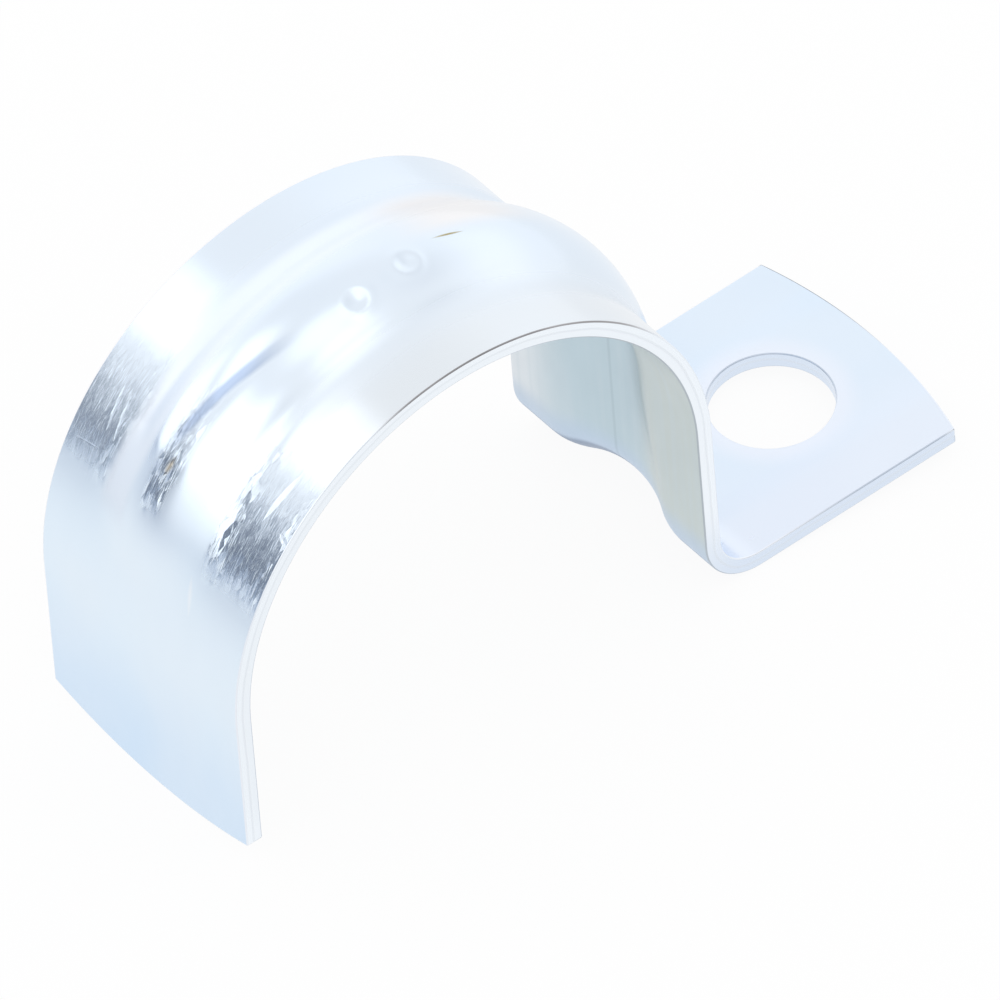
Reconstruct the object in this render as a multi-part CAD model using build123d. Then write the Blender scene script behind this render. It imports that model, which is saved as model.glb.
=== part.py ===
from build123d import *
import math
import os

# A one-lug pipe clip, pressed and folded from one strip of zinc-plated steel.
# All lengths are millimetres. The origin is the middle of the pipe's axis, +Y runs along the pipe,
# +X points to the foot and +Z away from the wall that the foot is screwed to.

# The strip
sheet = 0.9                 # thickness of the strip
strip_width = 14.6          # width of the strip, along the pipe
edge_break = 0.25           # bevel along the outer face's edges, where the shear rolled them over
end_radius = 27.0           # both ends of the strip are cut to this arc

# The saddle over the pipe
pipe_radius = 13.5          # radius that the arch closes on
leg_length = 9.1            # free leg, from the pipe's axis to the tip of its end
axis_height = 10.85         # pipe's axis above the underside of the foot

# The foot
heel_radius = 2.3           # inside of the bend between the wall and the foot
foot_length = 15.2          # from the wall's outer face to the tip of the foot
hole_diameter = 6.2         # screw hole
hole_setback = 8.85         # from the wall's outer face to the middle of the screw hole

# The pressed rib along the middle of the strip
rib_width = 6.6             # width of the crown over the arch, where it meets the outer face
heel_rib_width = 8.6        # width of the crown where it turns into the foot
rib_height = 1.2            # crown above the outer face
crease_radius = 2.2         # blend between the crown and the flat bands, on the outer face
rib_end_angle = 33.0        # the rib starts to run out at this angle above the free leg
rib_end_radius = 6.4        # radius of the crest where it runs out to the free leg
heel_turn = 30.0            # degrees of the heel that the rib follows at full height
foot_slope = 18.0           # slope at which the crest meets the foot, in degrees
seam_angle = 4.0            # the turned arch starts this far inside both ends of the level rib

# Positions that follow from the sizes above
outer_radius = pipe_radius + sheet
foot_top = sheet - axis_height
heel_x = outer_radius + heel_radius
heel_z = foot_top + heel_radius
foot_tip = outer_radius + foot_length
hole_x = outer_radius + hole_setback
crest_radius = outer_radius + rib_height

# The rib's crest leaves the heel on an arc that is tangent to the heel's own and would end flat on
# the foot, and drops the last of its height along a straight slope
heel_crest = heel_radius - rib_height
heel_sine = math.sin(math.radians(heel_turn))
landing_radius = (heel_radius - heel_crest * heel_sine) / (1 - heel_sine)
landing_turn = 90 - foot_slope - heel_turn

ACROSS = (0, -1, 0)
PIPE_AXIS = Axis((0, 0, 0), ACROSS)


def turn(section, x, z, degrees):
    """Sweep a section about an axis along the pipe's direction: the solid and the end section."""
    axis = Axis((x, 0, z), ACROSS)
    return revolve(section, axis, degrees), section.rotate(axis, degrees)


def blank(depth):
    """Everything under the plain folded strip's face that lies this deep below its outer face."""
    arch = outer_radius - depth
    heel = heel_radius + depth
    lean = heel * math.sqrt(0.5)
    floor = -axis_height - leg_length - depth
    end = foot_tip + sheet + depth
    with BuildSketch(Plane.XZ) as side:
        with BuildLine():
            Line((-arch, floor), (-arch, 0))
            ThreePointArc((-arch, 0), (0, arch), (arch, 0))
            Line((arch, 0), (arch, heel_z))
            ThreePointArc((arch, heel_z), (heel_x - lean, heel_z - lean), (heel_x, heel_z - heel))
            Line((heel_x, heel_z - heel), (end, heel_z - heel))
            Line((end, heel_z - heel), (end, floor))
            Line((end, floor), (-arch, floor))
        make_face()
    return extrude(side.sketch, strip_width / 2 + depth, both=True)


def crown(depth, width, z):
    """Section of the rib at this depth, level with z on the wall, down to one sheet below the face."""
    radius = ((width / 2) ** 2 + rib_height**2) / (2 * rib_height)
    middle = crest_radius - radius
    root = outer_radius - depth - sheet
    half = math.sqrt((radius - depth) ** 2 - (root - middle) ** 2)
    with BuildSketch(Plane.XY.offset(z)) as across:
        with BuildLine():
            ThreePointArc((root, -half), (middle + radius - depth, 0), (root, half))
            Line((root, half), (root, -half))
        make_face()
    return across.sketch


def bead(depth):
    """The rib's crown at this depth, swept from the free leg over the arch and down to the foot."""
    arch, leg_end = turn(crown(depth, rib_width, 0), 0, 0, 180 - rib_end_angle)
    inward = crest_radius - rib_end_radius
    end_angle = math.radians(180 - rib_end_angle)
    run_out, _ = turn(leg_end, inward * math.cos(end_angle), inward * math.sin(end_angle), 90)

    flare = []
    for step in range(7):
        share = step / 6
        spread = share * share * (3 - 2 * share)
        width = rib_width + spread * (heel_rib_width - rib_width)
        flare.append(crown(depth, width, share * heel_z))
    wall = loft(flare)
    heel, heel_end = turn(flare[-1], heel_x, heel_z, heel_turn)
    past = landing_radius - heel_crest
    landing_x = heel_x + past * math.cos(math.radians(heel_turn))
    landing_z = heel_z + past * heel_sine
    landing, foot_end = turn(heel_end, landing_x, landing_z, landing_turn)
    slope = math.radians(foot_slope)
    tail = extrude(foot_end, 2 * rib_height, dir=(math.cos(slope), 0, -math.sin(slope)))
    return arch + [run_out, wall, heel, landing, tail]


def outer_depth(point):
    """Depth of a point below the plain strip's outer face."""
    if point.Z >= 0:
        return outer_radius - math.hypot(point.X, point.Z)
    if point.X < 0:
        return outer_radius + point.X
    if point.Z >= heel_z:
        return outer_radius - point.X
    if point.X < heel_x:
        return math.hypot(point.X - heel_x, point.Z - heel_z) - heel_radius
    return foot_top - point.Z


def skin(depth):
    """The blank with the rib raised on it, its creases blended at one centre for every depth."""
    plain = blank(depth)
    crown = bead(depth)
    with BuildPart() as body:
        add(plain)
        add(crown)
        fillet(body.edges(Select.NEW), crease_radius + depth)
    return body.part


def section():
    """Section across the strip where the rib is level, its creases drawn and its rims bevelled."""
    skins = []
    for depth in (0, sheet):
        face = outer_radius - depth
        with BuildSketch() as across:
            Rectangle(face, strip_width, align=(Align.MIN, Align.CENTER))
            add(crown(depth, rib_width, 0))
            corners = across.vertices().filter_by_position(Axis.X, face - 0.001, face + 0.001)
            creases = corners.sort_by(Axis.Y)[1:-1]
            fillet(creases, crease_radius + depth)
        skins.append(across.sketch)
    strip = skins[0] - skins[1]
    rims = strip.vertices().group_by(Axis.Y)
    outer_rims = [rims[0].sort_by(Axis.X)[-1], rims[-1].sort_by(Axis.X)[-1]]
    return chamfer(outer_rims, edge_break)


def over_arch(shape):
    """Turn a section about the pipe's axis, over the stretch of the arch where the rib is level."""
    return revolve(shape.rotate(PIPE_AXIS, seam_angle), PIPE_AXIS, 180 - rib_end_angle - 2 * seam_angle)


# The strip is what lies between two skins, one sheet thickness apart
ends = skin(0) - skin(sheet)

# Both ends are cut to an arc that bulges along the strip
with BuildSketch(Plane.YZ.offset(-crest_radius)) as leg_cut:
    with Locations((0, -leg_length)):
        Rectangle(2 * strip_width, 2 * axis_height + sheet)
    with Locations((0, end_radius - leg_length)):
        Circle(end_radius, mode=Mode.SUBTRACT)
ends -= extrude(leg_cut.sketch, crest_radius)

with BuildSketch(Plane.XY.offset(-axis_height)) as foot_cut:
    with Locations((foot_tip, 0)):
        Rectangle(hole_setback, 2 * strip_width)
    with Locations((foot_tip - end_radius, 0)):
        Circle(end_radius, mode=Mode.SUBTRACT)
ends -= extrude(foot_cut.sketch, 2 * sheet, both=True)

ends -= Pos(hole_x, 0, foot_top) * Cylinder(hole_diameter / 2, 4 * sheet)

# The arch between them is cut away, to be turned from one section
ends -= over_arch(Rectangle(2 * crest_radius, 2 * strip_width, align=(Align.MIN, Align.CENTER)))

# The shear breaks the outer edge of every face that it cut: the two sides, both ends and the hole
cut_radii = (end_radius, hole_diameter / 2)
rims = []
for face in ends.faces():
    side = face.geom_type == GeomType.PLANE and abs(abs(face.center().Y) - strip_width / 2) < 0.001
    bent = face.geom_type == GeomType.CYLINDER and any(abs(face.radius - r) < 0.001 for r in cut_radii)
    if side or bent:
        rims += [edge for edge in face.edges() if abs(outer_depth(edge @ 0.5)) < 0.001]
ends = ends.chamfer(edge_break, None, rims)

# Fused without merging faces, the pipe's seat keeps one face for each band beside the rib
clip = ends.fuse(over_arch(section()), tol=0.002)

os.makedirs("parts", exist_ok=True)
export_step(clip, "parts/pipe_clip.step")
print("volume", round(clip.volume, 2), "valid", clip.is_valid, "faces", len(clip.faces()))
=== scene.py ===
# %% [markdown]
# # A pipe clip, pressed from one strip of zinc-plated steel
#
# The clip is one strip: a short free leg, a half-round arch over the pipe, a wall, a heel bend and a
# foot with a screw hole. A rib is pressed along its middle. The CAD model is loaded first, because it
# is the frame that everything here has to fit, and its box is kept to compare sizes at the end.

# %% Load the frame
import math

import bpy
from mathutils import Matrix, Vector


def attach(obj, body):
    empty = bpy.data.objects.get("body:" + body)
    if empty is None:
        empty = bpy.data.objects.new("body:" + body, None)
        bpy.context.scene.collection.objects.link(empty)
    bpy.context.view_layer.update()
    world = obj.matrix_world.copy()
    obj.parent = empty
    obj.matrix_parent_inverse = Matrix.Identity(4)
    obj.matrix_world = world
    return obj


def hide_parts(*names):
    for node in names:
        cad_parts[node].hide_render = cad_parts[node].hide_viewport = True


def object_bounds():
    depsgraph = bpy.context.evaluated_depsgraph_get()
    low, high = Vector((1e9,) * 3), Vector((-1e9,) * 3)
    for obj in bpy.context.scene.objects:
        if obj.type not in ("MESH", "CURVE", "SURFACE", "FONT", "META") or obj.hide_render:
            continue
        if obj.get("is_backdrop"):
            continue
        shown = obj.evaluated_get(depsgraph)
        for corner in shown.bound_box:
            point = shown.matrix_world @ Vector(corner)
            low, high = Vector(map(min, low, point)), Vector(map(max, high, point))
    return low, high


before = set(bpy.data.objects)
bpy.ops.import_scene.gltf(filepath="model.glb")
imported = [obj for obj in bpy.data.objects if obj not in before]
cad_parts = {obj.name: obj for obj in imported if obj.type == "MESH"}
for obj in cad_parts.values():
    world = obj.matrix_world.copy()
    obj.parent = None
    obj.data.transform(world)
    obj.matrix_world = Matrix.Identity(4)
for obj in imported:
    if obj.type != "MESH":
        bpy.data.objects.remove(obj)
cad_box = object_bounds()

MM = 0.001
print("nodes", sorted(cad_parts))
print("box from", *[[round(c / MM, 2) for c in corner] for corner in cad_box], "in mm")

# %% [markdown]
# ## One helper for every node
#
# Geometry and materials are both node trees here. One function adds a node, gives it its settings, and
# either links or sets each of its inputs. A second one reads a table of such nodes, so that a long
# chain of them is written as a list and each result has a name.


# %% Node helper
def add(tree, kind, inputs=None, **settings):
    """Add a node with its settings; an input takes a socket to link or a value to set."""
    node = tree.nodes.new(kind)
    for name, value in settings.items():
        setattr(node, name, value)
    for key, value in (inputs or {}).items():
        if isinstance(value, bpy.types.NodeSocket):
            tree.links.new(value, node.inputs[key])
        else:
            node.inputs[key].default_value = value
    return node


def fill(tree, known, rows):
    """Add a table of nodes; a row is the result's name, the node, its inputs and its settings.

    A node in capitals is an operation with its terms beside it: SMOOTHSTEP of the Map Range node, from
    the value for 0 to the value for 1, and any other of the Math node. An input that names an earlier
    result is linked to it. Each output is also known by the row's name and its own, as in "at X".
    """
    for name, kind, *terms in rows:
        if kind == "SMOOTHSTEP":
            inputs = dict(zip(("Value", "From Min", "From Max"), terms))
            settings, kind = {"interpolation_type": kind}, "ShaderNodeMapRange"
        elif kind.isupper():
            inputs = dict(enumerate(terms))
            settings, kind = {"operation": kind}, "ShaderNodeMath"
        else:
            inputs, settings = terms[0], dict(terms[1:])
        inputs = {key: known[term] if isinstance(term, str) else term for key, term in inputs.items()}
        outputs = [socket for socket in add(tree, kind, inputs, **settings).outputs if socket.enabled]
        known[name] = outputs[0]
        known.update({f"{name} {socket.name}": socket for socket in outputs})


print("node helpers ready")

# %% [markdown]
# ## The sizes of the strip
#
# Each size is one named input of the node tree, in millimetres or radians. Change one and the tree
# presses the whole clip anew when it runs, which is why a tree was chosen over a fixed mesh. Three
# more inputs take the finishes of the outer face, the inside and the sheared edge.

# %% Sizes and the tree's inputs
SIZES = {
    "strip width": 14.6,
    "outer radius": 14.4,
    "leg length": 9.1,
    "foot depth": 9.95,
    "heel radius": 2.3,
    "foot tip": 29.6,
    "hole centre": 23.25,
    "hole radius": 3.1,
    "end radius": 27.0,
    "rib height": 1.2,
    "rib width": 6.6,
    "heel rib width": 8.6,
    "crease radius": 2.2,
    "rib end angle": math.radians(33),
    "rib end radius": 6.4,
    "heel turn": math.radians(30),
    "foot slope": math.radians(18),
    "sheet": 0.9,
}
tree = bpy.data.node_groups.new("pressed_strip", "GeometryNodeTree")
tree.interface.new_socket("Geometry", in_out="OUTPUT", socket_type="NodeSocketGeometry")
for name, value in SIZES.items():
    socket = tree.interface.new_socket(name, in_out="INPUT", socket_type="NodeSocketFloat")
    socket.default_value = value
finish_sockets = {}
for name in ("outside", "inside", "edge"):
    socket = tree.interface.new_socket(name, in_out="INPUT", socket_type="NodeSocketMaterial")
    finish_sockets[name] = socket.identifier
group_in = add(tree, "NodeGroupInput")
known = {name: group_in.outputs[name] for name in SIZES}
print("tree with", len(SIZES), "sizes and", len(finish_sockets), "finishes as inputs")

# %% [markdown]
# ## The path that the strip is folded along
#
# A press brake folds a strip at corners, and Geometry Nodes has a node that does the same: Fillet
# Curve rounds each corner of a line of five points to its own radius. Two corners with the arch's
# radius meet at the top and make a true half circle.

# %% Folded path
ARC_STEPS = 128
# Each corner: right, up, and the radius of the bend there
CORNERS = [
    ("left side", "leg end", None),
    ("left side", "outer radius", "outer radius"),
    ("outer radius", "outer radius", "outer radius"),
    ("outer radius", "foot level", "heel radius"),
    ("foot tip", "foot level", None),
]
fill(tree, known, [
    ("left side", "MULTIPLY", "outer radius", -1),
    ("leg end", "MULTIPLY", "leg length", -1),
    ("foot level", "MULTIPLY", "foot depth", -1),
    ("corner", "GeometryNodeInputIndex", {}),
])
place = add(tree, "GeometryNodeIndexSwitch", data_type="VECTOR")
bend = add(tree, "GeometryNodeIndexSwitch", data_type="FLOAT")
for switch in (place, bend):
    while len(switch.index_switch_items) < len(CORNERS):
        switch.index_switch_items.new()
    tree.links.new(known["corner"], switch.inputs[0])
for i, (right, up, radius) in enumerate(CORNERS, start=1):
    point = add(tree, "ShaderNodeCombineXYZ", {"X": known[right], "Z": known[up]})
    tree.links.new(point.outputs[0], place.inputs[i])
    if radius:
        tree.links.new(known[radius], bend.inputs[i])
known["place"], known["bend"] = place.outputs[0], bend.outputs[0]
rounding = {"Curve": "sharp path", "Radius": "bend", "Count": ARC_STEPS}
fill(tree, known, [
    ("line", "GeometryNodeMeshLine", {"Count": len(CORNERS)}),
    ("bent line", "GeometryNodeSetPosition", {"Geometry": "line", "Position": "place"}),
    ("sharp path", "GeometryNodeMeshToCurve", {"Mesh": "bent line"}),
    ("path", "GeometryNodeFilletCurve", rounding, ("mode", "POLY")),
])
print("path of", len(CORNERS), "corners")

# %% [markdown]
# ## A grid to lay along the path
#
# The blank is flat before it is pressed, and so is the grid, which is counted in cells. The table adds
# up where each bend starts along the strip. A cell's length follows from the distance to the hole, so
# that the hole's middle falls on a crossing of the grid.

# %% Grid and lengths along the strip
CELLS_TO_HOLE = 360
CELLS_ALONG = 392
CELLS_ACROSS = 80
cells = {
    "Size X": CELLS_ALONG,
    "Size Y": CELLS_ACROSS,
    "Vertices X": CELLS_ALONG + 1,
    "Vertices Y": CELLS_ACROSS + 1,
}
fill(tree, known, [
    ("grid", "GeometryNodeMeshGrid", cells),
    ("position", "GeometryNodeInputPosition", {}),
    ("at", "ShaderNodeSeparateXYZ", {0: "position"}),
    ("wall start", "MULTIPLY_ADD", "outer radius", math.pi, "leg length"),
    ("wall length", "SUBTRACT", "foot depth", "heel radius"),
    ("heel start", "ADD", "wall start", "wall length"),
    ("foot start", "MULTIPLY_ADD", "heel radius", math.pi / 2, "heel start"),
    ("heel x", "ADD", "outer radius", "heel radius"),
    ("flat foot", "SUBTRACT", "foot tip", "heel x"),
    ("end", "ADD", "foot start", "flat foot"),
    ("hole run", "SUBTRACT", "hole centre", "heel x"),
    ("hole along", "ADD", "foot start", "hole run"),
    ("step", "DIVIDE", "hole along", CELLS_TO_HOLE),
    ("step across", "DIVIDE", "strip width", CELLS_ACROSS),
    ("cell", "ADD", "at X", CELLS_ALONG / 2),
    ("square along", "MULTIPLY", "cell", "step"),
    ("square across", "MULTIPLY", "at Y", "step across"),
])
print("grid of", CELLS_ALONG, "by", CELLS_ACROSS, "cells")

# %% [markdown]
# ## A round hole in a square grid
#
# The hole is punched, so it is truly round. Cut from square cells it would be ragged, and a Boolean
# would leave long thin faces. Here the rings of cells round the hole are drawn in to circles, less and
# less from ring to ring, and the cells inside the first ring are deleted.

# %% Round hole
RIM_CELLS = 14
RING_CELLS = 24
INSIDE_RIM = RIM_CELLS - 0.25


def third_side(tree, known, name, sign, one, other):
    """Third side of a right-angled triangle: ADD gives the long side, SUBTRACT a short one."""
    fill(tree, known, [
        ("one squared", "POWER", one, 2),
        ("other squared", "POWER", other, 2),
        (f"{name} squared", sign, "one squared", "other squared"),
        (name, "SQRT", f"{name} squared"),
    ])


fill(tree, known, [
    ("from hole", "SUBTRACT", "cell", CELLS_TO_HOLE),
    ("off along", "ABSOLUTE", "from hole"),
    ("off across", "ABSOLUTE", "at Y"),
    ("ring", "MAXIMUM", "off along", "off across"),
    ("past rim", "SUBTRACT", "ring", RIM_CELLS),
    ("ring radius", "MULTIPLY_ADD", "past rim", "step", "hole radius"),
])
third_side(tree, known, "distance", "ADD", "from hole", "at Y")
cut = {"Geometry": "grid", "Selection": "in hole"}
fill(tree, known, [
    ("reach", "DIVIDE", "ring radius", "distance"),
    ("round along", "MULTIPLY_ADD", "from hole", "reach", "hole along"),
    ("round across", "MULTIPLY", "at Y", "reach"),
    ("ring share", "DIVIDE", "past rim", RING_CELLS - RIM_CELLS),
    ("squareness", "MINIMUM", "ring share", 1),
    ("gap along", "SUBTRACT", "square along", "round along"),
    ("gap across", "SUBTRACT", "square across", "round across"),
    ("along", "MULTIPLY_ADD", "gap along", "squareness", "round along"),
    ("across", "MULTIPLY_ADD", "gap across", "squareness", "round across"),
    ("in hole", "LESS_THAN", "ring", INSIDE_RIM),
    ("pierced", "GeometryNodeDeleteGeometry", cut, ("domain", "FACE")),
])
print("hole of", 2 * SIZES["hole radius"], "mm, with", RING_CELLS - RIM_CELLS, "rings drawn round")

# %% [markdown]
# ## Ends cut to an arc
#
# The blanking die cuts both ends of the strip to a wide arc. The grid's ends are straight, so the cells
# of the leg, and those past the hole's rings, are pulled by the arc's bulge, more the nearer they are
# to the end. That bends the ends and leaves everything between them as it was.

# %% Curved ends
third_side(tree, known, "chord", "SUBTRACT", "end radius", "across")
fill(tree, known, [
    ("bulge", "SUBTRACT", "end radius", "chord"),
    ("leg share", "DIVIDE", "along", "leg length"),
    ("leg rest", "SUBTRACT", 1, "leg share"),
    ("leg pull", "MAXIMUM", "leg rest", 0),
    ("leg along", "MULTIPLY_ADD", "bulge", "leg pull", "along"),
    ("grid end", "MULTIPLY", "step", CELLS_ALONG),
    ("tip gap", "SUBTRACT", "end", "grid end"),
    ("tip shift", "SUBTRACT", "tip gap", "bulge"),
    ("ring end", "MULTIPLY", "step", CELLS_TO_HOLE + RING_CELLS),
    ("past ring", "SUBTRACT", "along", "ring end"),
    ("tip length", "SUBTRACT", "grid end", "ring end"),
    ("tip share", "DIVIDE", "past ring", "tip length"),
    ("tip pull", "MAXIMUM", "tip share", 0),
    ("place along", "MULTIPLY_ADD", "tip shift", "tip pull", "leg along"),
])
print("ends cut to a radius of", SIZES["end radius"], "mm")

# %% [markdown]
# ## How high the rib stands on the leg and the arch
#
# The punch raises the rib to one height over the arch and the wall. Towards the free leg its crest
# follows a small arc down into the strip. It could be sculpted, but each line of school trigonometry
# is one Math node, and the rib then follows every change of size.

# %% Rib on the leg and the arch
# The crest is under the strip long before this angle, in radians
SINK_LIMIT = 0.5
fill(tree, known, [
    ("arch run", "SUBTRACT", "place along", "leg length"),
    ("arch angle", "DIVIDE", "arch run", "outer radius"),
    ("before rib", "SUBTRACT", "rib end angle", "arch angle"),
    ("before level", "MAXIMUM", "before rib", 0),
    ("sink angle", "MINIMUM", "before level", SINK_LIMIT),
    ("crest radius", "ADD", "outer radius", "rib height"),
    ("inward", "SUBTRACT", "crest radius", "rib end radius"),
    ("sink sine", "SINE", "sink angle"),
    ("sink cosine", "COSINE", "sink angle"),
    ("sink side", "MULTIPLY", "inward", "sink sine"),
])
third_side(tree, known, "sink root", "SUBTRACT", "rib end radius", "sink side")
fill(tree, known, [
    ("sink crest", "MULTIPLY_ADD", "inward", "sink cosine", "sink root"),
    ("leg rise", "SUBTRACT", "sink crest", "outer radius"),
])
print("rib sinks into the leg on a radius of", SIZES["rib end radius"], "mm")

# %% [markdown]
# ## How the rib passes the heel
#
# At the heel the crest follows the bend for a third of the turn, leaves it on a wider arc, and drops
# the last bit along a slope, so that it runs out on the foot before the screw hole. The wider arc has
# to leave the bend without a kink and land level, and those two demands give its radius.

# %% Rib through the heel and down the foot
fill(tree, known, [
    ("heel run", "SUBTRACT", "place along", "heel start"),
    ("heel angle", "DIVIDE", "heel run", "heel radius"),
    ("past turn", "SUBTRACT", "heel angle", "heel turn"),
    ("past turn up", "MAXIMUM", "past turn", 0),
    ("turn left", "SUBTRACT", math.pi / 2, "heel turn"),
    ("swing", "MINIMUM", "past turn up", "turn left"),
    ("heel crest", "SUBTRACT", "heel radius", "rib height"),
    ("turn sine", "SINE", "heel turn"),
    ("turn cosine", "COSINE", "heel turn"),
    ("crest drop", "MULTIPLY", "heel crest", "turn sine"),
    ("landing top", "SUBTRACT", "heel radius", "crest drop"),
    ("landing share", "SUBTRACT", 1, "turn sine"),
    ("landing radius", "DIVIDE", "landing top", "landing share"),
    ("landing past", "SUBTRACT", "landing radius", "heel crest"),
    ("swing sine", "SINE", "swing"),
    ("swing cosine", "COSINE", "swing"),
    ("swing side", "MULTIPLY", "landing past", "swing sine"),
    ("swing back", "MULTIPLY", "landing past", "swing cosine"),
    ("foot run", "SUBTRACT", "place along", "foot start"),
    ("foot past", "MAXIMUM", "foot run", 0),
    ("landing x", "MULTIPLY", "landing past", "turn cosine"),
    ("slope sine", "SINE", "foot slope"),
    ("slope side", "MULTIPLY", "landing radius", "slope sine"),
    ("arc length", "SUBTRACT", "landing x", "slope side"),
    ("arc run", "MINIMUM", "foot past", "arc length"),
    ("arc side", "SUBTRACT", "landing x", "arc run"),
    ("slope run", "SUBTRACT", "foot past", "arc length"),
    ("slope past", "MAXIMUM", "slope run", 0),
    ("slope fall", "TANGENT", "foot slope"),
    ("slope drop", "MULTIPLY", "slope past", "slope fall"),
])
for root, side in (("swing root", "swing side"), ("arc root", "arc side"), ("start root", "landing x")):
    third_side(tree, known, root, "SUBTRACT", "landing radius", side)
fill(tree, known, [
    ("swing crest", "SUBTRACT", "swing root", "swing back"),
    ("heel rise", "SUBTRACT", "heel radius", "swing crest"),
    ("heel drop", "SUBTRACT", "heel rise", "rib height"),
    ("arc drop", "SUBTRACT", "start root", "arc root"),
    ("rise to heel", "ADD", "leg rise", "heel drop"),
    ("rise to foot", "ADD", "rise to heel", "arc drop"),
    ("rise to slope", "SUBTRACT", "rise to foot", "slope drop"),
    ("rise", "MAXIMUM", "rise to slope", 0),
])
print("rib leaves the heel after", round(math.degrees(SIZES["heel turn"])), "degrees")

# %% [markdown]
# ## The section of the rib
#
# Across the strip the rib is a round crown with a round crease on each side, drawn as circles that
# touch. When the crown sinks, the circles slide together and close to nothing, so one rule covers
# the whole length. The crown widens down the wall, where the heel bend spreads it.

# %% Section of the rib
flare = {
    "Value": "place along",
    "From Min": "wall start",
    "From Max": "heel start",
    "To Min": "rib width",
    "To Max": "heel rib width",
}
fill(tree, known, [
    ("crown width", "ShaderNodeMapRange", flare, ("interpolation_type", "SMOOTHSTEP")),
    ("crown half", "MULTIPLY", "crown width", 0.5),
    ("crown half squared", "POWER", "crown half", 2),
    ("height squared", "POWER", "rib height", 2),
    ("crown sum", "ADD", "crown half squared", "height squared"),
    ("double height", "MULTIPLY", "rib height", 2),
    ("crown radius", "DIVIDE", "crown sum", "double height"),
    ("both radii", "ADD", "crown radius", "crease radius"),
    ("sunk", "SUBTRACT", "both radii", "rise"),
])
third_side(tree, known, "crease side", "SUBTRACT", "both radii", "sunk")
fill(tree, known, [
    ("crown share", "DIVIDE", "crown radius", "both radii"),
    ("crown side", "MULTIPLY", "crease side", "crown share"),
    ("aside", "ABSOLUTE", "across"),
    ("on crown", "LESS_THAN", "aside", "crown side"),
    ("to crease", "SUBTRACT", "crease side", "aside"),
    ("in crease", "MAXIMUM", "to crease", 0),
])
third_side(tree, known, "crown root", "SUBTRACT", "crown radius", "across")
third_side(tree, known, "crease root", "SUBTRACT", "crease radius", "in crease")
fill(tree, known, [
    ("crown base", "SUBTRACT", "rise", "crown radius"),
    ("crown lift", "ADD", "crown base", "crown root"),
    ("crease lift", "SUBTRACT", "crease radius", "crease root"),
    ("lift gap", "SUBTRACT", "crown lift", "crease lift"),
    ("lift", "MULTIPLY_ADD", "lift gap", "on crown", "crease lift"),
])
print("rib of", SIZES["rib height"], "mm on a strip of", SIZES["sheet"], "mm")

# %% [markdown]
# ## Where the rib runs out
#
# Drawn with circles alone, the rib would end on the free leg in a hard line. Sheet steel doesn't follow
# the punch that closely: it blends out. Blur Attribute evens out the lift between neighbouring points,
# and its weight keeps that to the run-out, so the rest of the rib stays exact.

# %% Soft run-out
BLEND_ALONG = (20.0, 16.5)
BLEND_STEPS = 60
blur = {"Value": "lift", "Iterations": BLEND_STEPS, "Weight": "blend"}
fill(tree, known, [
    ("blend", "SMOOTHSTEP", "place along", *BLEND_ALONG),
    ("lift", "GeometryNodeBlurAttribute", blur, ("data_type", "FLOAT")),
])
print("run-out blended below", BLEND_ALONG[0], "mm along the strip")

# %% [markdown]
# ## Two punch marks
#
# On the near side of the crest the strip carries two shallow marks from a punch, drawn here as plain
# round dimples with the burr that a punch raises. Bump in a material would be quicker, but a dimple
# catches the light at its rim from every side, so it is real geometry. A punch this light doesn't reach
# through the sheet, so the dimples are kept apart from the rib and dent the outer face alone.

# %% Punch marks
# Each mark: mm along and across the strip
MARKS = [(30.6, -1.35), (33.6, -1.05)]
MARK_RADIUS = 0.62
MARK_DEPTH = 0.10
BURR_HEIGHT = 0.045
# In shares of the mark's radius
MARK_RINGS = {"mark bowl": (1.0, 0.2), "mark burr": (0.55, 1.1, 1.1, 1.65)}


def fade(tree, known, source, masks):
    """Masks that fade in between two values of a source, and out again between two more if given."""
    for name, (start, full, *end) in masks.items():
        fill(tree, known, [(name, "SMOOTHSTEP", source, start, full)])
        if end:
            fill(tree, known, [
                ("fade out", "SMOOTHSTEP", source, *reversed(end)),
                (name, "MULTIPLY", name, "fade out"),
            ])


known["mark lift"] = 0.0
for mark_along, mark_across in MARKS:
    fill(tree, known, [
        ("mark x", "SUBTRACT", "place along", mark_along),
        ("mark y", "SUBTRACT", "across", mark_across),
    ])
    third_side(tree, known, "mark away", "ADD", "mark x", "mark y")
    fill(tree, known, [("mark share", "DIVIDE", "mark away", MARK_RADIUS)])
    fade(tree, known, "mark share", MARK_RINGS)
    fill(tree, known, [
        ("burred", "MULTIPLY_ADD", "mark burr", BURR_HEIGHT, "mark lift"),
        ("mark lift", "MULTIPLY_ADD", "mark bowl", -MARK_DEPTH, "burred"),
    ])
print(len(MARKS), "punch marks")

# %% [markdown]
# ## Folding the strip
#
# Each point is put on the path, lifted along the path's normal and moved across. Its place on the
# strip is kept in an attribute, in millimetres along, across and below the outer face, because every
# finish further down is drawn along the strip.

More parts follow.
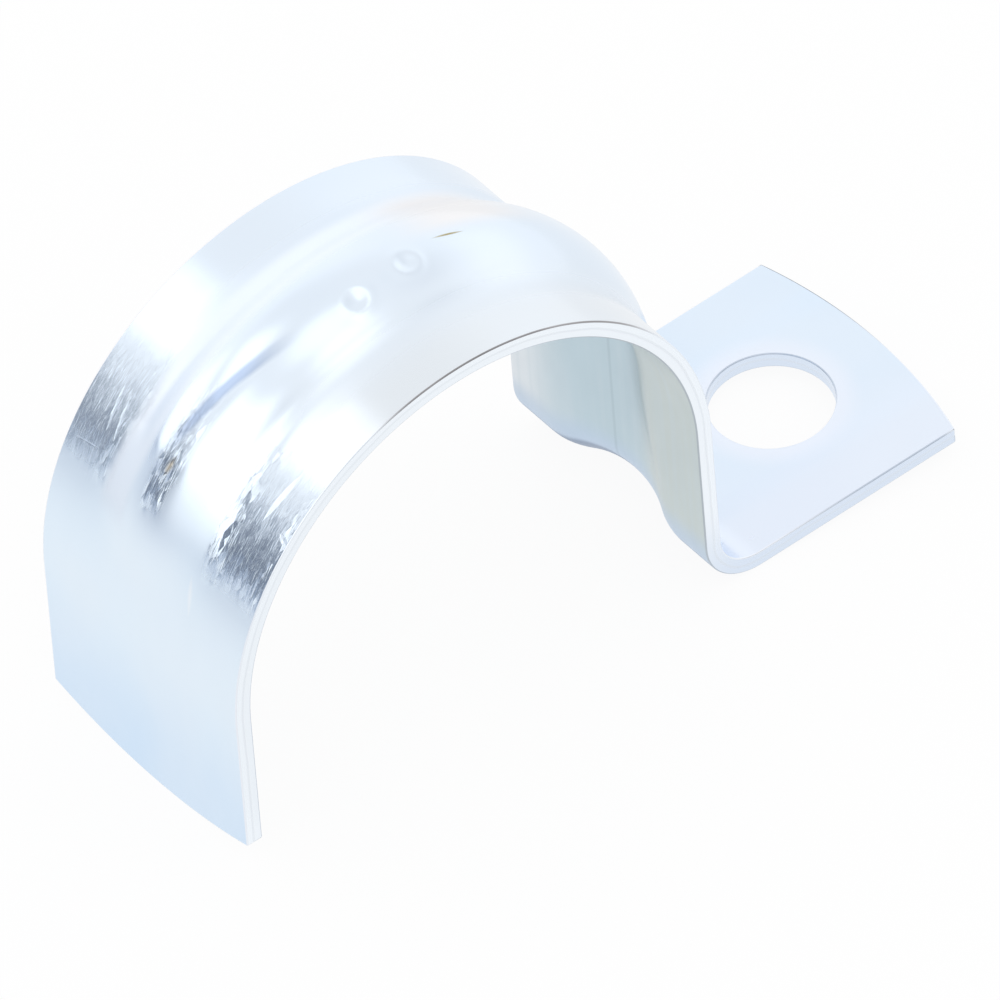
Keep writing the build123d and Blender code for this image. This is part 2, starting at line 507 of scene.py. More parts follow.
# %% Folded face
STRIP_PLACE = "strip_mm"
SUM = ("operation", "ADD")
SCALED = ("operation", "SCALE")
fill(tree, known, [
    ("on path", "GeometryNodeSampleCurve", {"Curves": "path", "Length": "place along"}, ("mode", "LENGTH")),
    ("heading", "ShaderNodeSeparateXYZ", {0: "on path Tangent"}),
    ("facing x", "MULTIPLY", "heading Z", -1),
    ("facing", "ShaderNodeCombineXYZ", {"X": "facing x", "Z": "heading X"}),
    ("raised", "ShaderNodeVectorMath", {0: "facing", "Scale": "lift"}, SCALED),
    ("on rib", "ShaderNodeVectorMath", {0: "on path Position", 1: "raised"}, SUM),
    ("sideways", "ShaderNodeCombineXYZ", {"Y": "across"}),
    ("folded mm", "ShaderNodeVectorMath", {0: "on rib", 1: "sideways"}, SUM),
    ("folded", "ShaderNodeVectorMath", {0: "folded mm", "Scale": MM}, SCALED),
    ("dent depth", "MULTIPLY", "mark lift", MM),
    ("dent", "ShaderNodeVectorMath", {0: "facing", "Scale": "dent depth"}, SCALED),
    ("on strip", "ShaderNodeCombineXYZ", {"X": "place along", "Y": "across"}),
])
marked = add(
    tree,
    "GeometryNodeStoreNamedAttribute",
    {"Geometry": known["pierced"], "Name": STRIP_PLACE, "Value": known["on strip"]},
    data_type="FLOAT_VECTOR",
    domain="POINT",
)
known["marked"] = marked.outputs[0]
print("every point knows its place on the strip as", STRIP_PLACE)

# %% [markdown]
# ## Giving the sheet its thickness
#
# Extrude Mesh pulls the folded face inwards by one sheet, and its Top and Side outputs pick the inside
# and the sheared edge for finishes of their own. The dented outer face is then joined on. The extruded
# face starts from the plain one, so that no dimple folds the inside over itself.

# %% Thick sheet
WELD = 0.001
dented = {"Geometry": "marked", "Position": "folded", "Offset": "dent"}
pull = {"Mesh": "plain face", "Offset Scale": "inwards", "Individual": False}
was_on_strip = add(tree, "GeometryNodeInputNamedAttribute", {"Name": STRIP_PLACE}, data_type="FLOAT_VECTOR")
known["was on strip"] = was_on_strip.outputs[0]
fill(tree, known, [
    ("plain face", "GeometryNodeSetPosition", {"Geometry": "marked", "Position": "folded"}),
    ("outer face", "GeometryNodeSetPosition", dented),
    ("inwards", "MULTIPLY", "sheet", -MM),
    ("walls", "GeometryNodeExtrudeMesh", pull, ("mode", "FACES")),
    ("below", "ShaderNodeCombineXYZ", {"Z": "sheet"}),
    ("deeper", "ShaderNodeVectorMath", {0: "was on strip", 1: "below"}, SUM),
])
deep_walls = add(
    tree,
    "GeometryNodeStoreNamedAttribute",
    {
        "Geometry": known["walls"],
        "Selection": known["walls Top"],
        "Name": STRIP_PLACE,
        "Value": known["deeper"],
    },
    data_type="FLOAT_VECTOR",
    domain="POINT",
)
turned = add(tree, "GeometryNodeFlipFaces", {"Mesh": deep_walls.outputs[0]})
joined = add(tree, "GeometryNodeJoinGeometry")
for half in (known["outer face"], turned.outputs[0]):
    tree.links.new(half, joined.inputs[0])
known["joined"] = joined.outputs[0]
fill(tree, known, [
    ("closed", "GeometryNodeMergeByDistance", {"Geometry": "joined", "Distance": WELD * MM}),
    ("smooth", "GeometryNodeSetShadeSmooth", {"Geometry": "closed"}),
    ("coated", "GeometryNodeRealizeInstances", {"Geometry": "smooth"}),
])
for finish, faces in (("outside", None), ("inside", "walls Top"), ("edge", "walls Side")):
    inputs = {"Geometry": known["coated"], "Material": group_in.outputs[finish]}
    if faces:
        inputs["Selection"] = known[faces]
    known["coated"] = add(tree, "GeometryNodeSetMaterial", inputs).outputs[0]
add(tree, "NodeGroupOutput", {0: known["coated"]})
print("tree of", len(tree.nodes), "nodes")

# %% [markdown]
# ## How every finish starts and ends
#
# Four finishes meet on this clip, and all are drawn in the strip's own millimetres, so that scratches
# follow the bends. Each starts with its place on the strip, a few noises stretched to a real length and
# width, and masks for the stretches where it changes. Each ends in the same way: colours laid over each
# other by masks, and sums of masks for the roughness and for the relief of the Bump node.


# %% Start and end of a finish
def start_finish(name, noises, **masks):
    """Start a material with its place on the strip, its noises and its masks.

    A noise has a length and a width in mm, and a detail. Masks fade in and out along the strip, across
    it, aside from its middle or in its depth, all in mm, or with a noise.
    """
    finish = bpy.data.materials.new(name)
    finish.use_nodes = True
    tree = finish.node_tree
    strip = add(tree, "ShaderNodeAttribute", attribute_name=STRIP_PLACE).outputs["Vector"]
    along, across, depth = add(tree, "ShaderNodeSeparateXYZ", {0: strip}).outputs
    known = {"everywhere": 1.0, "strip": strip, "along": along, "across": across, "depth": depth}
    fill(tree, known, [("aside", "ABSOLUTE", "across")])
    for noise, (length, width, detail) in noises.items():
        shrink = (1 / length, 1 / width, 1.0)
        fill(tree, known, [
            ("shrunk", "ShaderNodeVectorMath", {0: "strip", 1: shrink}, ("operation", "MULTIPLY")),
            (noise, "ShaderNodeTexNoise", {"Vector": "shrunk", "Scale": 1.0, "Detail": detail}),
        ])
    for source, table in masks.items():
        fade(tree, known, source, table)
    return finish, tree, known


def colour(code):
    """Linear RGBA from an sRGB hex code such as #d8e2ec."""
    parts = [int(code[i : i + 2], 16) / 255 for i in (1, 3, 5)]
    return [p / 12.92 if p <= 0.04045 else ((p + 0.055) / 1.055) ** 2.4 for p in parts] + [1.0]


def plate(finish, known, coats, dulls, heights):
    """End a material as metal, from what each mask gives: a colour, roughness or a height in mm.

    A mask is written as a product of known ones and a share, such as "near * arch * 0.5".
    """
    tree = finish.node_tree
    shader = tree.nodes["Principled BSDF"]
    for mask in (*coats, *dulls, *heights):
        first, *others = mask.split(" * ")
        known[mask] = known[first]
        for other in others:
            factor = known[other] if other in known else float(other)
            fill(tree, known, [(mask, "MULTIPLY", mask, factor)])
    coat = colour(coats.pop("everywhere"))
    for mask, code in coats.items():
        laid = {0: known[mask], 6: coat, 7: colour(code)}
        coat = add(tree, "ShaderNodeMix", laid, data_type="RGBA").outputs[2]
    for total, shares in (("roughness", dulls), ("relief", heights)):
        known[total] = 0.0
        for mask, share in shares.items():
            fill(tree, known, [(total, "MULTIPLY_ADD", mask, share, total)])
    bump = add(tree, "ShaderNodeBump", {"Height": known["relief"], "Distance": MM})
    shader.inputs["Metallic"].default_value = 1.0
    tree.links.new(coat, shader.inputs["Base Color"])
    tree.links.new(known["roughness"], shader.inputs["Roughness"])
    tree.links.new(bump.outputs[0], shader.inputs["Normal"])
    print("finish", finish.name, "of", len(tree.nodes), "nodes")
    return finish


print("finishes start and end alike")

# %% [markdown]
# ## Scrapes from the die
#
# Zinc is soft, so the die leaves single scrapes on the outer face. A scrape is a V-shaped groove with a
# place, a length, a width and a turn on the strip. It could be painted, but a groove mirrors other
# parts of the room on each side, which is what the eye sees, so it is relief.

# %% Scrapes
# Each scrape: along, across, half length and half width in mm, turn in degrees, depth in mm
SCRAPES = {
    "long scrape": (21.5, -5.54, 1.55, 0.16, -8, 0.045),
    "far scrape": (19.5, 5.36, 1.25, 0.10, 8, 0.020),
    "second far scrape": (19.3, 4.70, 1.25, 0.11, 9, 0.022),
    "rim chip": (19.95, -6.95, 0.42, 0.17, 68, 0.070),
    "leg tick": (14.4, -3.2, 1.25, 0.18, 7.5, 0.002),
    "die line": (17.2, 5.9, 1.10, 0.07, 100, 0.004),
    "crest stain": (19.5, 0.05, 0.60, 0.28, -8, 0.010),
    "crest scratch": (36.4, -0.50, 0.95, 0.09, -5, 0.006),
}


def scrape(tree, known):
    """A mask of each scrape, known by its name and highest along its middle; returns the heights."""
    for name, (place, aside, half_length, half_width, turn, _) in SCRAPES.items():
        cosine, sine = math.cos(math.radians(turn)), math.sin(math.radians(turn))
        fill(tree, known, [
            ("off along", "SUBTRACT", "along", place),
            ("off across", "SUBTRACT", "across", aside),
            ("lean along", "MULTIPLY", "off across", sine),
            ("lean across", "MULTIPLY", "off across", cosine),
            ("run", "MULTIPLY_ADD", "off along", cosine, "lean along"),
            ("side", "MULTIPLY_ADD", "off along", -sine, "lean across"),
            ("run share", "DIVIDE", "run", half_length),
            ("run squared", "POWER", "run share", 2),
            ("side share", "DIVIDE", "side", half_width),
            ("side off", "ABSOLUTE", "side share"),
            ("inside run", "SUBTRACT", 1, "run squared"),
            ("inside", "SUBTRACT", "inside run", "side off"),
            (name, "MAXIMUM", "inside", 0),
        ])
    return {name: -depth for name, (*_, depth) in SCRAPES.items()}


print(len(SCRAPES), "scrapes")

# %% [markdown]
# ## Zinc drawn and torn by the die
#
# Where the strip slid over the edge of the die, the zinc was drawn into streaks in three bands: on the
# crest, and on each side of the rib. In some zones it tore into small tilted facets. A facet is one
# cell of a Voronoi pattern, tilted by the cell's random colour. Streaks and facets only show where the
# metal mirrors something dark, so they too are relief and not paint.

# %% Drawn and torn zinc
# Each torn zone: the middle across and its half width in mm, and how much of it is torn
TORN_ZONES = {
    "crest zone": (0.25, 0.75, 1.0),
    "near crease zone": (-3.95, 0.75, 1.0),
    "rim zone": (-7.1, 0.55, 0.8),
    "far crease zone": (4.2, 0.65, 0.7),
}
FACET_LENGTH, FACET_WIDTH = 0.60, 0.22
GREY = (0.5, 0.5, 0.5)


def draw(tree, known):
    """Masks of the drawn bands and of the torn zones, and the slopes of tilted facets."""
    known["torn"] = 0.0
    for middle, half, share in TORN_ZONES.values():
        zone = (middle - half, middle - half / 2, middle + half / 2, middle + half)
        fade(tree, known, "across", {"zone": zone})
        fill(tree, known, [
            ("torn zone", "MULTIPLY", "zone", share),
            ("torn", "MAXIMUM", "torn", "torn zone"),
        ])
    shrink = (1 / FACET_LENGTH, 1 / FACET_WIDTH, 1.0)
    less = ("operation", "SUBTRACT")
    fill(tree, known, [
        ("crest band", "MULTIPLY", "crest", "crest start"),
        ("both bands", "ADD", "near band", "far band"),
        ("bands", "MAXIMUM", "both bands", "crest band"),
        ("drag", "MULTIPLY", "drag stretch", "bands"),
        ("undragged", "SUBTRACT", 1, "drag"),
        ("facet place", "ShaderNodeVectorMath", {0: "strip", 1: shrink}, ("operation", "MULTIPLY")),
        ("facet", "ShaderNodeTexVoronoi", {"Vector": "facet place", "Scale": 1.0}),
        ("facet off", "ShaderNodeVectorMath", {0: "facet place", 1: "facet Position"}, less),
        ("facet tilt", "ShaderNodeVectorMath", {0: "facet Color", 1: GREY}, less),
        ("facets", "ShaderNodeVectorMath", {0: "facet off", 1: "facet tilt"}, ("operation", "DOT_PRODUCT")),
    ])


print(len(TORN_ZONES), "torn zones with facets of", FACET_LENGTH, "mm")

# %% [markdown]
# ## Bright zinc on the outer face
#
# The outer face is bright zinc under a clear blue film, the passivate: a soft mirror with a cold tint.
# The film is bluest on the leg and the foot, which the die didn't rub, and on the crest it is rubbed to
# a dull blue line. Towards its lower end the leg is painted darker and bluer, a painted shade of the
# paper's shadow mirrored there. The leg's run-out and the far flank of the rib are softer and paler
# than the rest.
# All this could be painted by hand, but as masks it stays in place on the strip however that is bent.

# %% Zinc on the outer face
# The middle of the screw hole, in mm along the strip
HOLE_ALONG = 72.15
RUB_LEAN, RUB_SWAY = 0.20, 0.3


def from_hole(tree, known):
    """Distance from the middle of the screw hole, and its square, in mm."""
    fill(tree, known, [("past hole", "SUBTRACT", "along", HOLE_ALONG)])
    third_side(tree, known, "hole away", "ADD", "past hole", "across")


def bright_zinc():
    """Electroplated bright zinc with blue passivate, drawn along the bend by the die."""
    # Real streaks are a few hundredths of a millimetre wide; these are 0.09 mm wide so that they show.
    finish, tree, known = start_finish(
        "bright_zinc_blue_passivate",
        {
            "cloud": (9.0, 6.0, 1),
            "wave": (6.0, 4.0, 1),
            "streak": (1.1, 0.09, 3),
            "patch": (1.4, 0.7, 2),
            "haze": (3.0, 1.0, 3),
        },
        along={
            "leg end film": (11.0, 0.0),
            "leg film": (23.0, 14.0),
            "flank stretch": (14.5, 16.5, 36.0, 46.0),
            "drag stretch": (15.2, 16.8, 20.5, 24.0),
            "crest start": (16.6, 18.0),
            "before arch": (20.5, 18.0),
            "rub stretch": (19.5, 22.0, 24.5, 28.0),
            "past drag": (22.0, 27.0),
            "warm stretch": (33.5, 37.5, 39.0, 44.0),
            "foot film": (54.0, 66.0),
        },
        across={
            "near side": (-1.0, -6.5),
            "near band": (-3.2, -3.7),
            "crest": (-0.7, -0.3, 0.7, 1.1),
            "warm band": (-0.6, 0.6, 3.2, 4.6),
            "flank": (1.5, 2.2, 3.6, 4.3),
            "far band": (3.4, 3.9),
        },
        aside={"crease": (2.8, 3.7, 4.3, 5.2)},
        cloud={"tint": (0.35, 0.65)},
        patch={"patches": (0.38, 0.55)},
    )
    fill(tree, known, [
        ("rub lean", "MULTIPLY_ADD", "along", RUB_LEAN, "across"),
        ("rub place", "MULTIPLY_ADD", "haze", RUB_SWAY, "rub lean"),
    ])
    fade(tree, known, "rub place", {"rub line": (4.34, 4.68, 4.92, 5.26)})
    from_hole(tree, known)
    fade(tree, known, "hole away", {"hole lip": (4.6, 3.2)})
    draw(tree, known)
    grooves = scrape(tree, known)
    return plate(
        finish,
        known,
        coats={
            "everywhere": "#e1ecf8",
            "near side * past drag": "#e4eaf0",
            "leg film": "#e7f4ff",
            # Darker and bluer towards the leg's lower end: painted shade of the paper's shadow mirrored
            # there
            "leg end film": "#d4e8fc",
            "foot film": "#dfecfa",
            "near side * foot film": "#e4ecf9",
            "hole lip": "#e9f0fc",
            "tint * 0.25": "#eaf2fb",
            "flank * flank stretch": "#f0f7ff",
            "warm stretch * warm band": "#efeff1",
            "rub stretch * rub line": "#b0c0da",
            "leg tick": "#f2f9ff",
            "crest stain": "#b3ab9b",
            "crest scratch": "#9a871c",
        },
        dulls={
            "everywhere": 0.10,
            "foot film": 0.08,
            "past drag": 0.07,
            "haze": 0.08,
            "crease * past drag": 0.14,
            "flank * flank stretch": 0.28,
            "before arch * undragged": 0.20,
            "far band * drag": 0.10,
        },
        heights={
            "wave": 0.002,
            "streak": 0.0003,
            "streak * drag": 0.018,
            "facets * drag": 0.030,
            "facets * torn * drag * patches": 0.07,
            **grooves,
        },
    )


bright = bright_zinc()

# %% [markdown]
# ## Zinc on the inside
#
# The bath deposits less zinc inside the bend, and the strip slid over the mandrel there, so the inside
# is a duller, greyer metal with faint streaks and one score. Towards the far rim it is painted paler, a
# painted reflection of the brighter paper beyond the arch's shadow. At the heel a dark line is painted
# across it, a painted shadow of the paper under the heel mirrored there. It is a rough mirror and not a
# matt grey, because the paper shows in it.


# %% Zinc on the inside
def dull_zinc():
    """Thin zinc on the inside of the bend, streaked along the strip by the mandrel."""
    finish, tree, known = start_finish(
        "dull_zinc_inside",
        {"cloud": (9.0, 3.0, 1), "streak": (12.0, 0.5, 2), "haze": (2.0, 1.0, 3)},
        along={"past arch": (50.0, 54.0), "heel film": (60.8, 63.0), "heel line": (62.7, 63.2)},
        across={"near side": (-0.5, -3.5), "far rim": (2.8, 7.0), "score": (0.84, 0.97, 1.03, 1.16)},
        streak={"streaked": (0.40, 0.70)},
    )
    return plate(
        finish,
        known,
        coats={
            "everywhere": "#c6d8e1",
            "near side": "#ced8d8",
            # Paler towards the far rim: painted reflection of the brighter paper beyond the arch's shadow
            "far rim": "#e9eff4",
            "streaked * 0.25": "#d0dde5",
            "heel film": "#c6d7ea",
            # A dark line at the heel: painted shadow, the paper's shade under the heel mirrored there
            "heel line": "#93a4bc",
            "score * past arch * 0.2": "#95a8b2",
        },
        dulls={"everywhere": 0.35, "haze": 0.10},
        heights={"cloud": 0.004, "streak": 0.002, "score * past arch * 0.2": -0.006},
    )


dull = dull_zinc()

# %% [markdown]
# ## The sheared edge
#
# Shears leave two zones on an edge: a burnished band where the blade cut, and a grainy band where the
# rest of the sheet tore off. The line between them wanders. The zinc covers both, so the edge is pale,
# and the zones differ in gloss and relief more than in colour. On the heel and the foot the edge is
# painted darker and bluer, a painted shade of the paper's shadow mirrored in it.

# %% Zinc on the sheared edge
# How far the line wanders, in mm
WANDER = 0.25


def sheared_zinc():
    """Zinc over a sheared edge: a burnished band, a wandering line and a grainy torn band."""
    finish, tree, known = start_finish(
        "zinc_on_sheared_edge",
        {"wander": (3.5, 3.5, 2), "grain": (0.25, 0.25, 3)},
        along={"foot film": (59.0, 65.0)},
    )
    fill(tree, known, [
        ("shear", "MULTIPLY_ADD", "wander", WANDER, -WANDER / 2),
        ("level", "ADD", "depth", "shear"),
    ])
    fade(tree, known, "level", {"torn": (0.35, 0.50), "line": (0.32, 0.40, 0.44, 0.52)})
    return plate(
        finish,
        known,
        # On the heel and the foot the edge is darker and bluer: painted shade of the paper's shadow
        # mirrored there
        coats={"everywhere": "#f3f9ff", "foot film": "#dde8f7", "line * 0.4": "#dde3ea"},
        dulls={"everywhere": 0.24, "torn": 0.04},
        heights={"grain": 0.001, "grain * torn": 0.0035},
    )


sheared = sheared_zinc()

# %% [markdown]
# ## The rolled-over rim
#
# The corner of a sheared edge rolls over before it is cut, and the zinc is thinner there. It is a hair
# line, a little darker than the faces beside it and greyer on the inside. Over the arch the near rim is
# stained dark grey, on the foot it is blue-grey, and the near lip of the hole stays pale. It is a finish
# of its own because it lies on faces of its own.

# %% Zinc on the rim
FRONT_LEAN = 1.4


def stained_rim():
    """The thin zinc on the rounded corner of the sheared edge, stained over the arch."""
    finish, tree, known = start_finish(
        "stained_zinc_rim",
        {"stain": (5.0, 5.0, 3), "grain": (0.30, 0.30, 2)},
        along={
            "arch": (26.0, 30.0, 40.0, 46.0),
            "wall": (34.0, 40.0, 60.0, 66.0),
            "foot": (65.5, 72.5, 76.6, 77.6),
            "tip": (77.2, 77.6),
        },
        across={"near": (-6.8, -7.0), "not far": (6.0, 4.0), "tip far": (-2.0, 4.0)},
        depth={"inner": (0.40, 0.50)},
        stain={"stained": (0.25, 0.60)},
    )
    from_hole(tree, known)
    fill(tree, known, [
        ("outer", "SUBTRACT", 1, "inner"),
        ("behind hole", "MULTIPLY_ADD", "across", FRONT_LEAN, "past hole"),
    ])
    fade(tree, known, "hole away squared", {"hole": (13.0, 12.0)})
    fade(tree, known, "behind hole", {"front": (1.5, -2.0)})
    return plate(
        finish,
        known,
        coats={
            "everywhere": "#eef3fa",
            "inner": "#c6d0dd",
            "wall * near * inner": "#b4bdc4",
            "foot * outer * not far": "#c3cddb",
            "hole * front": "#e8effa",
            "tip * tip far * outer": "#8d96a3",
            "arch * near * outer": "#b4b3b6",
            "arch * near * outer * stained": "#8f8d8f",
        },
        dulls={"everywhere": 0.24, "stain": 0.15},
        heights={"grain": 0.003},
    )


rim = stained_rim()

# %% [markdown]
# ## Pressing the strip
#
# The tree runs on an empty holder, and its result is turned into a plain mesh. A Bevel then rounds the
# sheared edges, with the rim's finish on the new faces. The bevel is a modifier of its own because it
# needs the closed sheet.

# %% Pressed and bevelled strip
RIM_ROUND = 0.14
RIM_STEPS = 3
RIM_ANGLE = math.radians(50)


def plain_mesh(holder, name):
    """The holder's mesh with its modifiers applied; the holder goes."""
    bpy.context.scene.collection.objects.link(holder)
    depsgraph = bpy.context.evaluated_depsgraph_get()
    mesh = bpy.data.meshes.new_from_object(holder.evaluated_get(depsgraph), depsgraph=depsgraph)
    mesh.name = name
    bpy.data.objects.remove(holder)
    return mesh


blank = bpy.data.objects.new("blank", bpy.data.meshes.new("blank"))
press = blank.modifiers.new("press", "NODES")
press.node_group = tree
for finish, material in (("outside", bright), ("inside", dull), ("edge", sheared)):
    press[finish_sockets[finish]] = material
sheet = plain_mesh(blank, "pressed_sheet")
sheet.materials.append(rim)

pressed = bpy.data.objects.new("pressed", sheet)
bevel = pressed.modifiers.new("rim", "BEVEL")
bevel.width = RIM_ROUND * MM
bevel.segments = RIM_STEPS
bevel.limit_method = "ANGLE"
bevel.angle_limit = RIM_ANGLE
bevel.material = len(sheet.materials) - 1
bevel.harden_normals = True
strip_mesh = plain_mesh(pressed, "pipe_clip_strip")
clip = bpy.data.objects.new("zinc_strip", strip_mesh)
bpy.context.scene.collection.objects.link(clip)
strip_mesh.calc_loop_triangles()
print("strip of", len(strip_mesh.vertices), "points and", len(strip_mesh.loop_triangles), "triangles")

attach(clip, "root")
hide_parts("pipe_clip")

# %% [markdown]
# ## White paper
#
# The clip lies on white paper. To the camera and in the metal the paper is partly a plain white
# emission, through Light Path, and the rest of it is shaded, so a soft shadow stays under the clip.
# Towards the black card of the light tent the paper darkens, as it would beside a real one.

# %% Paper
CARD_TURN = math.radians(145)
CARD_NEAR, CARD_FAR = 0.03, 0.34
CARD_SHADE = 0.45
COLD_SHADE = colour("#d2e2ff")
WHITE = (1, 1, 1, 1)
WHITE_TO_CAMERA = 0.93
WHITE_IN_METAL = 0.96
FIBRE_LENGTH, FIBRE_HEIGHT = 3.5, 0.02
PAPER_ROUGHNESS = 0.9

paper = bpy.data.materials.new("white_card_paper")
paper.use_nodes = True
tree = paper.node_tree
shaded_paper = tree.nodes["Principled BSDF"]
known = {"shaded paper": shaded_paper.outputs[0]}
near_card = {"Value": "to card", "From Min": CARD_NEAR, "From Max": CARD_FAR}
fibres = {"Vector": "place Object", "Scale": 1 / (FIBRE_LENGTH * MM), "Detail": 2.0}
fill(tree, known, [
    ("ray", "ShaderNodeLightPath", {}),
    ("place", "ShaderNodeTexCoord", {}),
    ("at", "ShaderNodeSeparateXYZ", {0: "place Object"}),
    ("card x", "MULTIPLY", "at X", math.cos(CARD_TURN)),
    ("to card", "MULTIPLY_ADD", "at Y", math.sin(CARD_TURN), "card x"),
    ("near card", "ShaderNodeMapRange", near_card),
    ("in metal", "MAXIMUM", "ray Is Glossy Ray", "ray Is Transmission Ray"),
    ("camera share", "MULTIPLY", "ray Is Camera Ray", WHITE_TO_CAMERA),
    ("white share", "MULTIPLY_ADD", "in metal", WHITE_IN_METAL, "camera share"),
    ("card shade", "MULTIPLY", "near card", -CARD_SHADE),
    ("white", "MULTIPLY_ADD", "card shade", "in metal", 1),
    ("shaded", "MULTIPLY", "near card", "in metal"),
    ("tone", "ShaderNodeMix", {0: "shaded", 6: WHITE, 7: COLD_SHADE}, ("data_type", "RGBA")),
    ("glow", "ShaderNodeEmission", {"Strength": "white", "Color": "tone"}),
    ("fibres", "ShaderNodeTexNoise", fibres),
    ("tooth", "ShaderNodeBump", {"Height": "fibres", "Distance": FIBRE_HEIGHT * MM}),
    ("paper", "ShaderNodeMixShader", {0: "white share", 1: "shaded paper", 2: "glow"}),
])
shaded_paper.inputs["Base Color"].default_value = colour("#fafafb")
shaded_paper.inputs["Roughness"].default_value = PAPER_ROUGHNESS
tree.links.new(known["tooth"], shaded_paper.inputs["Normal"])
tree.links.new(known["paper"], tree.nodes["Material Output"].inputs["Surface"])
print("paper of", len(tree.nodes), "nodes")

# %% [markdown]
# ## The floor
#
# The clip rests on its heel and on the end of its free leg, which isn't as low, so the paper is tilted
# a little against the clip's own frame. The clip could be turned instead, but it has to stay in the
# frame of the CAD model.

# %% Paper floor
# Where the clip touches the paper: right and up, in mm
LEG_REST = (-13.9, -9.1)
HEEL_REST = (15.5, -10.85)
PAPER_HALF = 1.6
fall = (HEEL_REST[1] - LEG_REST[1]) / (HEEL_REST[0] - LEG_REST[0])
corners = []
for x, y in ((-1, -1), (1, -1), (1, 1), (-1, 1)):
    level = LEG_REST[1] * MM + (x * PAPER_HALF - LEG_REST[0] * MM) * fall
    corners.append((x * PAPER_HALF, y * PAPER_HALF, level))
paper_mesh = bpy.data.meshes.new("paper_floor")
paper_mesh.from_pydata(corners, [], [(0, 1, 2, 3)])
paper_mesh.materials.append(paper)
floor = bpy.data.objects.new("paper_floor", paper_mesh)
bpy.context.scene.collection.objects.link(floor)
floor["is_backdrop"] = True
print("paper tilted by", round(math.degrees(math.atan(fall)), 2), "degrees")

# %% [markdown]
# ## A light tent with a black card
#
# Bright metal shows its surroundings, so it is photographed in a white tent: plain white all round,
# brighter where lamps shine on the cloth, with a black card clipped in to give the curves an edge. The
# tent could be a dome of meshes; here it is drawn in the world by direction, which costs nothing and
# casts no shadow. Only mirrored rays see the windows and cards: the camera and plain shading see white.
# The darker a place in the tent, the colder its light, as on real cloth that only daylight reaches.

# %% Light tent
# Each row: direction round the clip and width, bottom and top, softness of the sides, softness of the
# bottom and top, all in degrees, and brightness
TENT = {
    "right wall": (24, 104, -20, 40, 24, 24, 1.08),
    "right lamp": (4, 44, 12, 32, 18, 14, 1.16),
    "right shade": (2, 44, 44, 58, 20, 8, 0.94),
    "back fill": (84, 50, -20, 30, 16, 14, 1.12),
    "back low window": (114, 24, 2, 28, 8, 8, 1.34),
    "back window": (119, 36, 36, 57, 9, 8, 1.42),
    "left window": (-172, 64, 15, 58, 10, 10, 1.42),
    "front top window": (-80, 60, 61, 76, 14, 8, 1.40),
    "top window": (0, 360, 76, 120, 2, 10, 1.30),
    "black card": (146, 33, -30, 22, 7, 24, 0.28),
    "lens": (-122, 16, 36, 52, 6, 6, 0.85),
    "front card": (-70, 70, -30, 16, 20, 12, 0.45),
}
world = bpy.data.worlds.new("light_tent")
bpy.context.scene.world = world
world.use_nodes = True
tree = world.node_tree
known = {"tent": 1.0}
fill(tree, known, [
    ("ray", "ShaderNodeLightPath", {}),
    ("direction", "ShaderNodeTexCoord", {}),
    ("way", "ShaderNodeSeparateXYZ", {0: "direction Generated"}),
    ("turn", "ARCTAN2", "way Y", "way X"),
    ("rise", "ARCSINE", "way Z"),
])
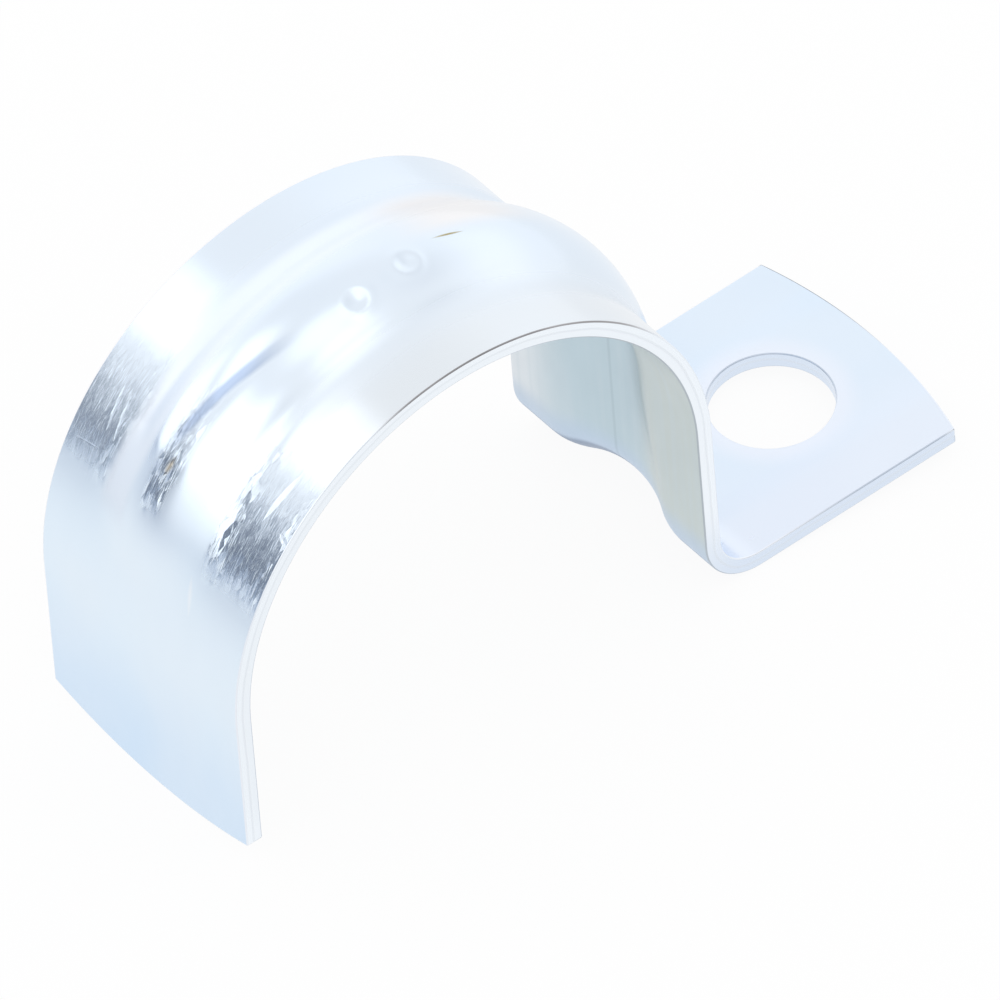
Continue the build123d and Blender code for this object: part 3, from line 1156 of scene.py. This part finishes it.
for *angles, level in TENT.values():
    turn, width, bottom, top, side_soft, end_soft = (math.radians(angle) for angle in angles)
    side_soft, end_soft = side_soft / 2, end_soft / 2
    fill(tree, known, [
        ("gap", "SUBTRACT", "turn", turn),
        ("short gap", "WRAP", "gap", math.pi, -math.pi),
        ("beside", "ABSOLUTE", "short gap"),
        ("in width", "SMOOTHSTEP", "beside", width / 2 + side_soft, width / 2 - side_soft),
        ("over bottom", "SMOOTHSTEP", "rise", bottom - end_soft, bottom + end_soft),
        ("under top", "SMOOTHSTEP", "rise", top + end_soft, top - end_soft),
        ("in height", "MULTIPLY", "over bottom", "under top"),
        ("here", "MULTIPLY", "in width", "in height"),
        ("change", "SUBTRACT", level, "tent"),
        ("tent", "MULTIPLY_ADD", "change", "here", "tent"),
    ])
fill(tree, known, [
    ("extra", "SUBTRACT", "tent", 1),
    ("seen", "MULTIPLY_ADD", "extra", "ray Is Glossy Ray", 1),
    ("warmth", "MINIMUM", "seen", 1),
    ("tone", "ShaderNodeMix", {0: "warmth", 6: COLD_SHADE, 7: WHITE}, ("data_type", "RGBA")),
])
background = tree.nodes["Background"]
tree.links.new(known["seen"], background.inputs["Strength"])
tree.links.new(known["tone"], background.inputs["Color"])
print("tent of", len(TENT), "windows and cards")

# %% [markdown]
# ## The camera
#
# The picture was taken from high on the left with a long lens, from far away, so that lines along the
# strip stay almost parallel. The camera's own axes are written down as they were fitted to the
# outline, and the lens follows from the distance and the width of the frame.

# %% Camera
VIEW_RIGHT = Vector((0.776649, -0.627192, -0.058685))
VIEW_UP = Vector((0.487825, 0.539887, 0.685967))
VIEW_BACK = Vector((-0.398548, -0.561388, 0.725257))
# In mm
AIM_RIGHT = 5.7441
AIM_UP = -0.2012
FRAME_WIDTH = 47.1614
DISTANCE = 1900.0
SENSOR = 36.0
# In metres
NEAREST, FARTHEST = 0.01, 10.0

lens = bpy.data.cameras.new("camera")
lens.sensor_width = SENSOR
lens.lens = SENSOR * DISTANCE / FRAME_WIDTH
lens.clip_start, lens.clip_end = NEAREST, FARTHEST
camera = bpy.data.objects.new("camera", lens)
bpy.context.scene.collection.objects.link(camera)
turn = Matrix((VIEW_RIGHT, VIEW_UP, VIEW_BACK)).transposed()
eye = AIM_RIGHT * VIEW_RIGHT + AIM_UP * VIEW_UP + DISTANCE * VIEW_BACK
camera.matrix_world = Matrix.Translation(eye * MM) @ turn.to_4x4()
bpy.context.scene.camera = camera
bpy.context.scene.view_settings.view_transform = "Standard"
print("lens of", round(lens.lens), "mm")

# %% Compare sizes and finish
visual_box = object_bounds()
for corner, (cad, visual) in enumerate(zip(cad_box, visual_box)):
    print("corner", corner, "differs by", [round((v - c) / MM, 3) for c, v in zip(cad, visual)], "mm")
